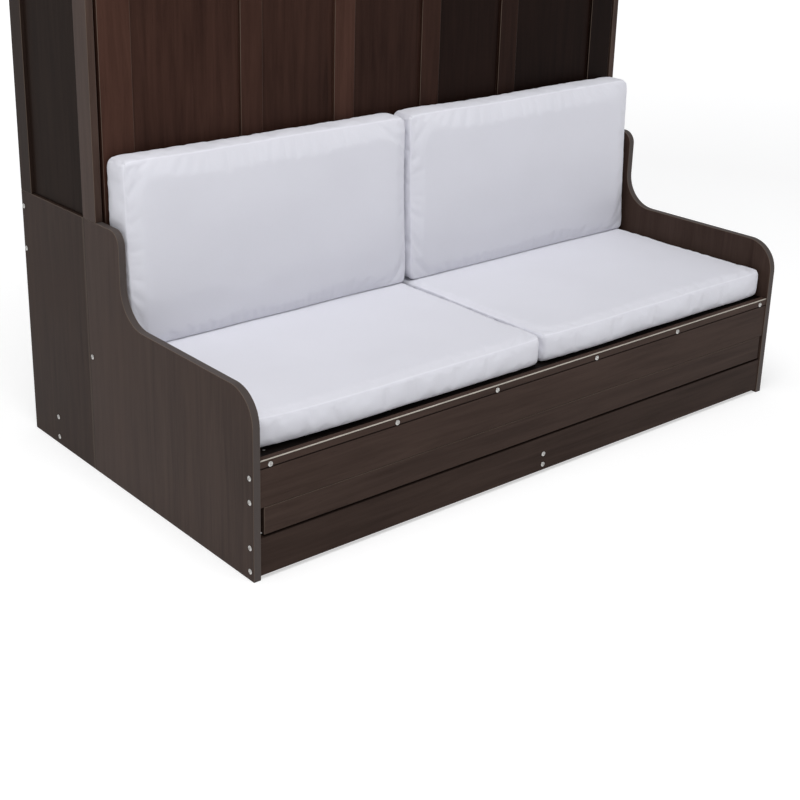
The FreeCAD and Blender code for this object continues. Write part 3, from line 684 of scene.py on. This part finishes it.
def rounded(points, size, radius):
    """Rounds a box's edges: each point moves to where the ball rolled inside the box would leave it."""
    radius = np.array(radius)
    inner = np.clip(points, radius, size - radius)
    away = (points - inner) / radius
    length = np.maximum(np.linalg.norm(away, axis=1, keepdims=True), 1e-9)
    return inner + away / length * radius


COVER_STIFFNESS, COVER_SHEAR, COVER_BENDING = 15.0, 5.0, 0.5
COVER_MASS, AIR_DAMPING, CLOTH_QUALITY = 0.25, 4.0, 4


class Pad:
    """A sewn, filled block in the space of a CAD solid. thick is the axis through its two large faces, and
    mesh the width of the rim, the spacing in it and the spacing elsewhere."""

    def __init__(self, name, node, thick, mesh, radius, inset):
        self.name, self.node, self.thick = name, node, thick
        self.low, self.high = (np.array(corner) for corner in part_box(node))
        self.limits = (self.low, self.high)
        self.start = self.low + inset
        self.size = self.high - self.low - 2 * np.array(inset)
        steps = [stations(length, *mesh) for length in self.size]
        last = [len(step) - 1 for step in steps]
        self.places, self.faces = box_skin(last)
        self.flat = np.stack([steps[axis][self.places[:, axis]] for axis in range(3)], axis=1)
        self.share = self.flat / self.size
        self.points = rounded(self.flat, self.size, radius)
        self.across = [axis for axis in range(3) if axis != thick]
        at_end = (self.places == 0) | (self.places == last)
        self.on_face = at_end[:, thick]
        self.seam = self.on_face & at_end[:, self.across].any(axis=1)

    def soften_corners(self, pull, reach):
        """Draws the four upright corners in, seen from the large faces."""
        u, v = self.across
        for end_u in (0, 1):
            for end_v in (0, 1):
                away_u = np.abs(self.flat[:, u] - end_u * self.size[u])
                away_v = np.abs(self.flat[:, v] - end_v * self.size[v])
                near = np.clip(1 - away_u / reach, 0, 1) ** 2 * np.clip(1 - away_v / reach, 0, 1) ** 2
                self.points[:, u] += near * pull * (1 - 2 * end_u)
                self.points[:, v] += near * pull * (1 - 2 * end_v)

    def waist(self, depth):
        """Draws the sides in between the corners."""
        for axis, other in (self.across, self.across[::-1]):
            bow = np.sin(math.pi * self.share[:, other]) ** 0.7
            self.points[:, axis] += depth * bow * (1 - 2 * self.share[:, axis])

    def mesh(self):
        mesh = bpy.data.meshes.new(self.name)
        mesh.from_pydata([tuple(p) for p in self.points + self.start], [], self.faces)
        mesh.polygons.foreach_set("use_smooth", [True] * len(mesh.polygons))
        obj = bpy.data.objects.new(self.name, mesh)
        bpy.context.scene.collection.objects.link(obj)
        return obj

    def simulate(self, pressure, slack, cap, frames):
        """Blows the cover up with the cloth solver, its seams held, then caps every move."""
        obj = self.mesh()
        group = obj.vertex_groups.new(name="held")
        group.add([int(i) for i in np.flatnonzero(self.seam)], 1.0, "REPLACE")
        cloth = obj.modifiers.new("Cloth", "CLOTH")
        settings = cloth.settings
        settings.quality = CLOTH_QUALITY
        settings.mass = COVER_MASS
        settings.air_damping = AIR_DAMPING
        settings.tension_stiffness = settings.compression_stiffness = COVER_STIFFNESS
        settings.shear_stiffness = COVER_SHEAR
        settings.bending_stiffness = COVER_BENDING
        settings.vertex_group_mass = "held"
        settings.shrink_min = -slack
        settings.use_pressure = True
        settings.uniform_pressure_force = pressure
        settings.effector_weights.gravity = 0.0
        cloth.collision_settings.use_collision = False
        scene = bpy.context.scene
        cloth.point_cache.frame_start, cloth.point_cache.frame_end = 1, frames
        for number in range(1, frames + 1):
            scene.frame_set(number)
        graph = bpy.context.evaluated_depsgraph_get()
        made = obj.evaluated_get(graph).data
        after = np.empty(len(made.vertices) * 3, np.float32)
        made.vertices.foreach_get("co", after)
        moved = after.reshape(-1, 3) - self.start - self.points
        obj.modifiers.clear()
        scene.frame_set(1)
        length = np.linalg.norm(moved, axis=1, keepdims=True)
        self.points = self.points + moved * np.minimum(1, cap / np.maximum(length, 1e-9))
        bpy.data.objects.remove(obj)

    def allow(self, low, high):
        """Moves the limits away from the corners of the CAD solid."""
        self.limits = (self.low + low, self.high + high)

    def finish(self, body, material, slot, fill):
        world = np.clip(self.points + self.start, *self.limits)
        obj = piece(self.name, world, self.faces, material, body, slot)
        seam = obj.data.attributes.new("seam", "FLOAT", "POINT")
        seam.data.foreach_set("value", self.seam.astype(np.float32))
        smooth = obj.modifiers.new("Subdivision", "SUBSURF")
        smooth.levels = smooth.render_levels = 1
        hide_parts(self.node)
        return obj


CUSHION_MESH = (24 * MM, 5 * MM, 8 * MM)
CUSHION_PRESSURE, CUSHION_SLACK, CUSHION_FRAMES = 4.0, 0.012, 20
ROOM = 0.6 * MM
# How far a seat cushion's front is pushed back at its left corner, and how soon that fades along its width.
SEAT_PUSH = {"left": (22 * MM, 0.15), "right": (5 * MM, 0.1)}
# A back cushion's front: forward at the foot, leaning back over the height, and tucked down at the seat.
BACK_FORWARD, BACK_LEAN = 11 * MM, 20 * MM
BACK_TUCK, BACK_TUCK_HEIGHT = 6 * MM, 15 * MM
QUILT_MESH = (31.75 * MM, 15.875 * MM, 15.875 * MM)
QUILT_PRESSURE, QUILT_SLACK, QUILT_FRAMES = 5.0, 0.02, 14
QUILT_STEP, QUILT_RISE = 8, 6 * MM
TICKING_ROOM = 0.3 * MM


def ripple(points, seed, scale, amount):
    """Smooth random values between -amount and amount at points in metres."""
    shift = Vector((seed * 3.7, seed * 1.9, seed * 5.3))
    return np.array([noise.noise(Vector(p) * scale + shift) for p in points]) * amount


def blow_up(pad, seed, scale, ripples, cap):
    """Ripples a cushion's cover along x, y and z, and fills it."""
    for axis, amount in enumerate(ripples):
        pad.points[:, axis] += ripple(pad.points, seed + axis * 7, scale, amount)
    pad.simulate(CUSHION_PRESSURE, CUSHION_SLACK, cap, CUSHION_FRAMES)


def seat_cushion(side):
    inset, radius = [2 * MM, 1 * MM, 3 * MM], [8 * MM, 14 * MM, 12 * MM]
    pad = Pad(f"seat_pad_{side}", f"seat_cushion_{side}", 2, CUSHION_MESH, radius, inset)
    pad.soften_corners(6 * MM, 50 * MM)
    pad.waist(1 * MM)
    pushed, fade = SEAT_PUSH[side]
    pad.points[:, 1] += pushed * np.exp(-pad.share[:, 0] / fade) * (1 - pad.share[:, 1])
    seed = 1 + SIDES.index(side)
    blow_up(pad, seed, 7.0, (2.0 * MM, 2.5 * MM, 2.0 * MM), cap=9 * MM)
    pad.allow((ROOM, -10 * MM, ROOM / 2), (-ROOM, 0, 1.0 * MM))
    obj = pad.finish("cabinet", COVER, "cushion_cover", 0.85)
    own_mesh(obj)


def back_cushion(side):
    inset, radius = [3 * MM, 4 * MM, 1 * MM], [13 * MM, 13 * MM, 10 * MM]
    pad = Pad(f"back_pad_{side}", f"back_cushion_{side}", 1, CUSHION_MESH, radius, inset)
    pad.soften_corners(6 * MM, 40 * MM)
    pad.waist(2 * MM)
    pad.points[:, 1] += (1 - pad.share[:, 1]) * (pad.share[:, 2] * BACK_LEAN - BACK_FORWARD)
    pad.points[:, 2] -= BACK_TUCK * np.exp(-pad.flat[:, 2] / BACK_TUCK_HEIGHT)
    seed = 11 + SIDES.index(side)
    blow_up(pad, seed, 6.0, (2.0 * MM, 3.0 * MM, 3.0 * MM), cap=10 * MM)
    pad.allow((ROOM, -12 * MM, 1.2 * MM), (-ROOM, -ROOM, 8 * MM))
    pad.finish(f"back_cushion_{side}", COVER, "cushion_cover", 0.8)


def mattress():
    """A mattress whose large faces are held along a diamond grid of quilting."""
    pad = Pad("quilted_mattress", "mattress", 1, QUILT_MESH, 22 * MM, [6 * MM, 5 * MM, 6 * MM])
    pad.soften_corners(16 * MM, 110 * MM)
    rising = pad.places[:, 0] + pad.places[:, 2]
    falling = pad.places[:, 0] - pad.places[:, 2]
    pad.seam |= pad.on_face & ((rising % QUILT_STEP == 0) | (falling % QUILT_STEP == 0))
    pad.simulate(QUILT_PRESSURE, QUILT_SLACK, 9 * MM, QUILT_FRAMES)
    pad.allow((0, TICKING_ROOM, 0), (0, -TICKING_ROOM, 0))
    pad.finish("bed", TICKING, "mattress_cover", 0.9)


WEB_THICK, WEB_BEND = 2 * MM, 18 * MM
WEB_STEPS, WEB_SPAN_STEPS = 8, 40
WEB_EDGE = np.linspace(-1.5, 1.5, 5)


def straps():
    """Two webbing straps: from a side rail, over the mattress, down to the other rail."""
    low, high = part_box("mattress_straps")
    top, foot = high.y - WEB_THICK / 2, low.y
    parts = []
    for strap_low, strap_high in solids("mattress_straps"):
        half = (strap_high.x - strap_low.x) / 2 - WEB_THICK / 2
        corner = [(-half, foot + (top - WEB_BEND - foot) * step / WEB_STEPS) for step in range(WEB_STEPS)]
        for step in range(WEB_STEPS + 1):
            angle = math.pi / 2 * step / WEB_STEPS
            x = -half + WEB_BEND * (1 - math.cos(angle))
            corner.append((x, top - WEB_BEND + WEB_BEND * math.sin(angle)))
        span = 2 * half - 2 * WEB_BEND
        path = list(corner)
        path += [(-half + WEB_BEND + span * step / WEB_SPAN_STEPS, top) for step in range(1, WEB_SPAN_STEPS)]
        path += [(-x, y) for x, y in reversed(corner)]
        middle, wide = (strap_low.z + strap_high.z) / 2, (strap_high.z - strap_low.z) / 2
        edge = [(math.sin(a) * WEB_THICK / 2, wide - WEB_THICK / 2 * (1 - math.cos(a))) for a in WEB_EDGE]
        section = edge + [(-across, -along) for across, along in edge]
        rings = []
        for number, (x, y) in enumerate(path):
            before, after = path[max(number - 1, 0)], path[min(number + 1, len(path) - 1)]
            out = Vector((before[1] - after[1], after[0] - before[0], 0)).normalized()
            rings.append([Vector((x, y, middle + along)) + out * across for across, along in section])
        parts.append(lofted(rings))
    obj = piece("mattress_webs", *merged(parts), STRAP, "bed", "webbing")
    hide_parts("mattress_straps")


# ---- surroundings ----

FLOOR_REACH = 60.0
FLOOR_GREY = 0.57
# The floor's own light: distance and strength where it starts to grow and where it is full.
GLOW_NEAR, GLOW_FAR = (3.0, 0.54), (9.0, 1.0)
SKY_COLOUR, SKY_STRENGTH = (0.97, 0.98, 1.0), 0.33
LIGHT_AIM = (0, 0, 0.7)
# Name, place, width and height, and power.
LIGHTS = (
    ("key", (-1.1, -1.4, 5.8), (3.6, 3.6), 236),
    ("front", (-2.6, -5.2, 1.4), (3.0, 1.8), 14),
    ("fill", (4.2, -3.0, 2.0), (3.0, 2.4), 6),
    ("back", (-1.5, 5.2, 3.6), (4.0, 3.0), 95),
)
CAMERA_AT = (-2.2991, -2.5688, 1.5116)
CAMERA_TURN = (37.194, 19.901, 0.207)
CAMERA_LENS, CAMERA_SENSOR = 64.2, 36.0
CAMERA_SHIFT = (0.12, -0.11)


def floor():
    """A wide pale floor that grows white with distance, as the photo's background is."""
    corners = [(-1, -1), (1, -1), (1, 1), (-1, 1)]
    mesh = bpy.data.meshes.new("floor")
    mesh.from_pydata([(x * FLOOR_REACH, y * FLOOR_REACH, 0) for x, y in corners], [], [(0, 1, 2, 3)])
    obj = bpy.data.objects.new("floor", mesh)
    bpy.context.scene.collection.objects.link(obj)
    grey = rgb(FLOOR_GREY, FLOOR_GREY, FLOOR_GREY)
    finish = Finish("pale_floor", Base_Color=grey, Roughness=0.85, Specular_IOR_Level=0.1)
    finish.feed(finish.shader.inputs["Emission Color"], rgb(1, 1, 1))
    away = finish.add("VectorMath", {0: finish.place.outputs["Object"]}, operation="LENGTH").outputs["Value"]
    glow = finish.spread(away, GLOW_NEAR[0], GLOW_FAR[0], GLOW_NEAR[1], GLOW_FAR[1])
    finish.feed(finish.shader.inputs["Emission Strength"], glow)
    dress(obj, finish.material)


def area_light(name, at, size, power):
    light = bpy.data.lights.new(name, "AREA")
    light.shape, light.size, light.size_y = "RECTANGLE", size[0], size[1]
    light.energy = power
    obj = bpy.data.objects.new(name, light)
    obj.matrix_world = frame_to(Vector(at) - Vector(LIGHT_AIM), at)
    bpy.context.scene.collection.objects.link(obj)


def lights():
    """Four area lights in soft surroundings, which the camera sees as plain white."""
    world = bpy.data.worlds.new("studio")
    world.use_nodes = True
    tree = world.node_tree
    soft = tree.nodes["Background"]
    soft.inputs["Color"].default_value = rgb(*SKY_COLOUR)
    soft.inputs["Strength"].default_value = SKY_STRENGTH
    white = tree.nodes.new("ShaderNodeBackground")
    seen = tree.nodes.new("ShaderNodeLightPath")
    either = tree.nodes.new("ShaderNodeMixShader")
    white.inputs["Color"].default_value = rgb(1, 1, 1)
    tree.links.new(seen.outputs["Is Camera Ray"], either.inputs[0])
    tree.links.new(soft.outputs[0], either.inputs[1])
    tree.links.new(white.outputs[0], either.inputs[2])
    tree.links.new(either.outputs[0], tree.nodes["World Output"].inputs["Surface"])
    bpy.context.scene.world = world
    bpy.context.scene.view_settings.view_transform = "Standard"
    for light in LIGHTS:
        area_light(*light)


def camera():
    """Looks down at the sofa from its left, with the cabinet's upper part out of the picture."""
    yaw, pitch, roll = (math.radians(angle) for angle in CAMERA_TURN)
    forward = Vector((math.sin(yaw) * math.cos(pitch), math.cos(yaw) * math.cos(pitch), -math.sin(pitch)))
    level = Vector((math.cos(yaw), -math.sin(yaw), 0))
    upright = level.cross(forward)
    right = math.cos(roll) * level + math.sin(roll) * upright
    up = -math.sin(roll) * level + math.cos(roll) * upright
    data = bpy.data.cameras.new("camera")
    data.sensor_width, data.lens = CAMERA_SENSOR, CAMERA_LENS
    data.shift_x, data.shift_y = CAMERA_SHIFT
    obj = bpy.data.objects.new("camera", data)
    turn = Matrix((right, up, -forward)).transposed().to_4x4()
    obj.matrix_world = Matrix.Translation(CAMERA_AT) @ turn
    bpy.context.scene.collection.objects.link(obj)
    bpy.context.scene.camera = obj


finish_boards()
finish_metal()
bolts()
handles()
nosing_edge()
for side in SIDES:
    seat_cushion(side)
    back_cushion(side)
mattress()
straps()
floor()
lights()
camera()
